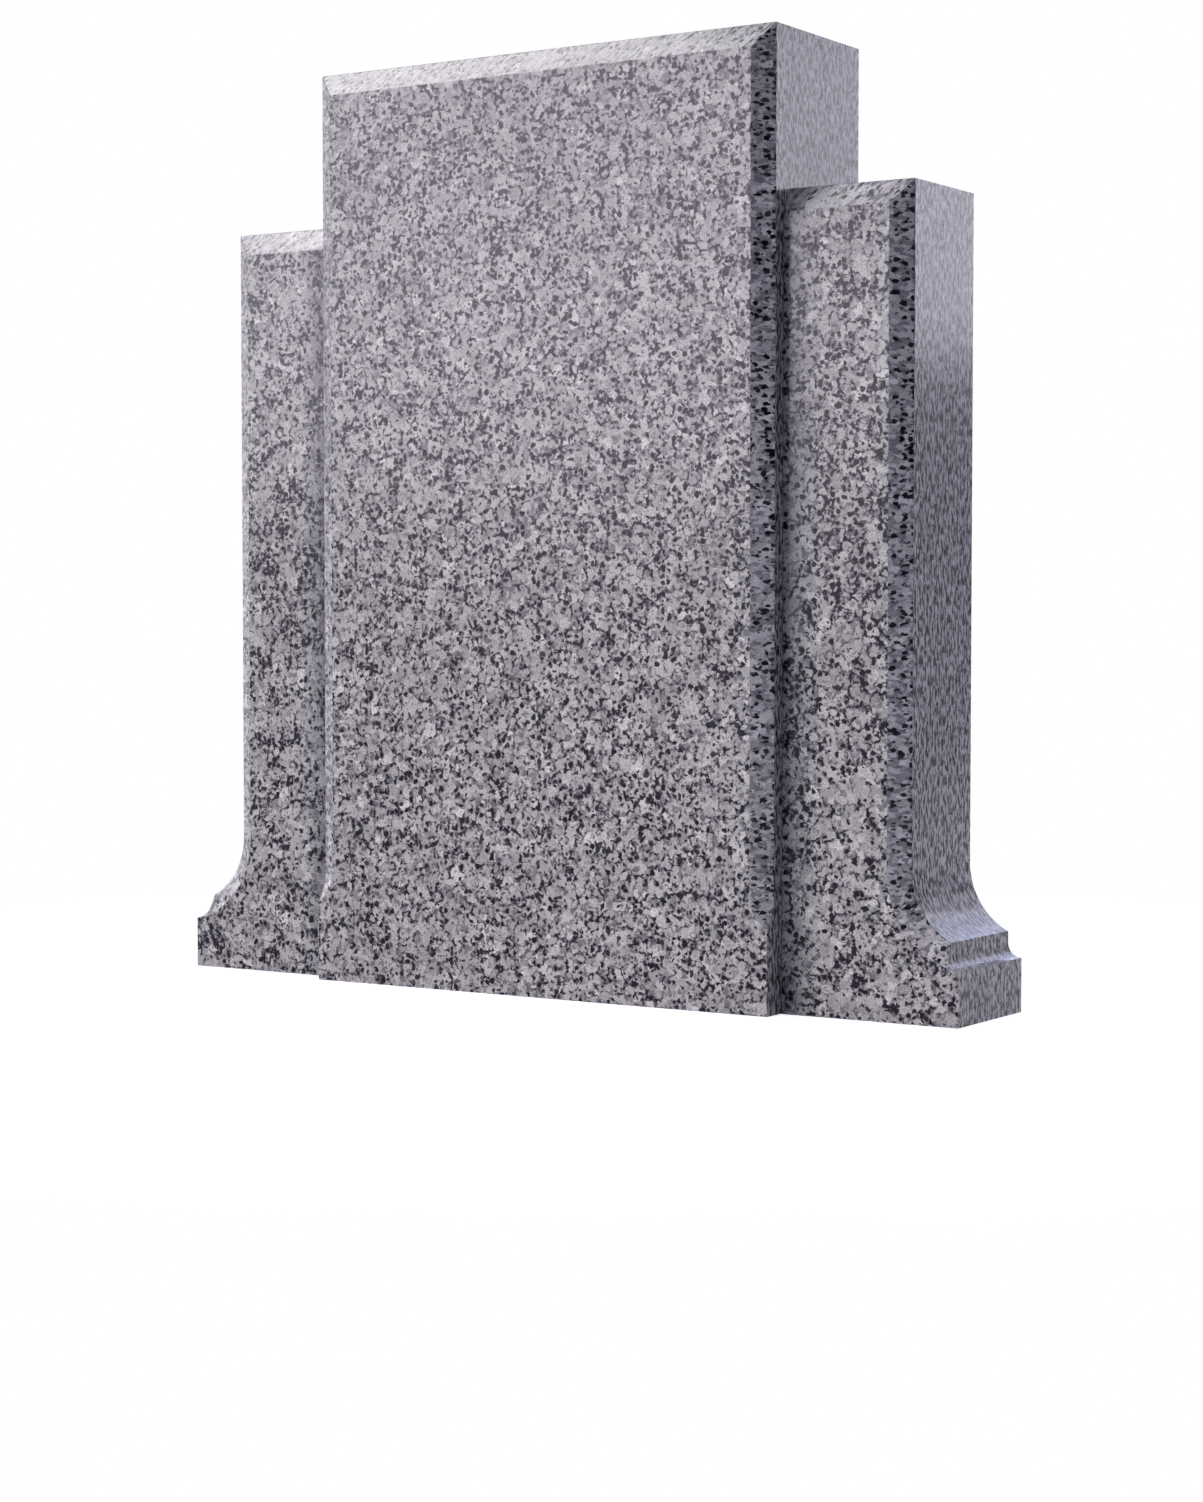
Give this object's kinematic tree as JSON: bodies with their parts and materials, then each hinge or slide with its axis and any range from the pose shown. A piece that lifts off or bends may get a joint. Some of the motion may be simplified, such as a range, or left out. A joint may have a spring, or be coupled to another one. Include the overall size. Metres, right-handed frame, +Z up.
{
  "type": "upright headstone",
  "caption": "Upright polished granite headstone: tall tablet with bevelled edges and a lower wing on each side that sweeps out to a square foot.",
  "frame": {"origin": "centre of the footprint, on the ground under the middle of the tablet", "axes": "+Z up; the face looks along -Y; +X runs along the width to the viewer's right as they face the stone"},
  "size_m": [0.78, 0.152, 0.8],
  "materials": {
    "polished_granite": "polished, light grey with black flecks"
  },
  "bodies": {
    "root": {"tablet": "polished_granite", "left_wing": "polished_granite", "right_wing": "polished_granite"}
  },
  "joints": []
}
